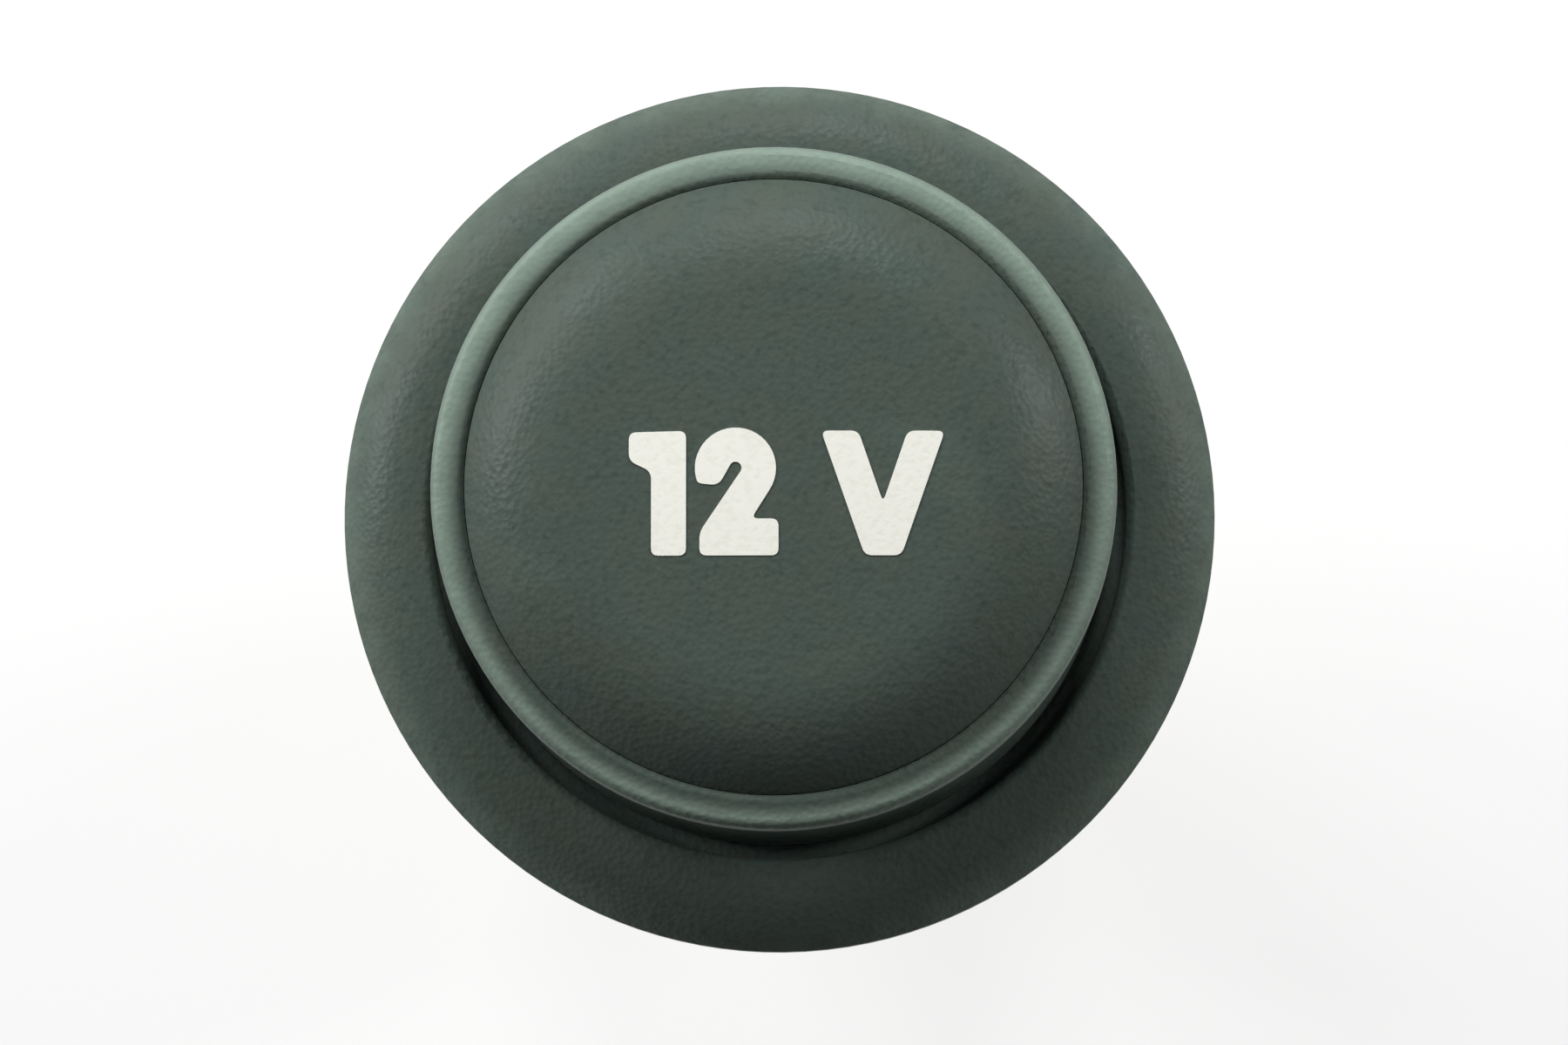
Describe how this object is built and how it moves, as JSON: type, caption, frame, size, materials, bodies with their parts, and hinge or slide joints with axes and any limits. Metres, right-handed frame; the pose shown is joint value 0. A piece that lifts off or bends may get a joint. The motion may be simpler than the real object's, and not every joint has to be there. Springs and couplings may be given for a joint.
{
  "type": "car power socket",
  "caption": "Round snap-in car power socket: flanged bezel, drawn steel receptacle with rear blade terminals, and a pull-off cap with a crowned face in a raised rim.",
  "frame": {"origin": "on the socket's axis, in the plane of the flange's underside, which is the face of the panel", "axes": "+Z along the socket's axis, out of its mouth towards the user; +Y up on the marked face; +X to the right"},
  "size_m": [0.036, 0.036, 0.0711],
  "materials": {
    "bezel_plastic": "fine moulded grain, dark green-grey black",
    "cap_plastic": "fine moulded grain, dark green-grey black",
    "plated_steel": "bright zinc plating over drawn sheet",
    "contact_brass": "plain brass, lightly dulled",
    "fastener_steel": "zinc plated",
    "insulator_nylon": "natural moulded nylon",
    "seal_rubber": "matt black rubber"
  },
  "bodies": {
    "socket": {"bezel_ring": "bezel_plastic", "socket_shell": "plated_steel", "contact_cup": "contact_brass", "contact_stud": "contact_brass", "contact_insulator": "insulator_nylon", "rear_insulator": "insulator_nylon", "positive_terminal": "contact_brass", "plain_washer": "fastener_steel", "lock_washer": "fastener_steel", "hex_nut": "contact_brass", "ground_terminal": "contact_brass", "ground_rivet": "fastener_steel"},
    "cap": {"cap_body": "cap_plastic", "cap_face": "cap_plastic", "cap_seal_ring": "seal_rubber"}
  },
  "joints": [
    {"name": "cap_pull", "type": "slide", "parent": "socket", "child": "cap", "axis": [0, 0, 1], "range_m": [0, 0.04]}
  ]
}
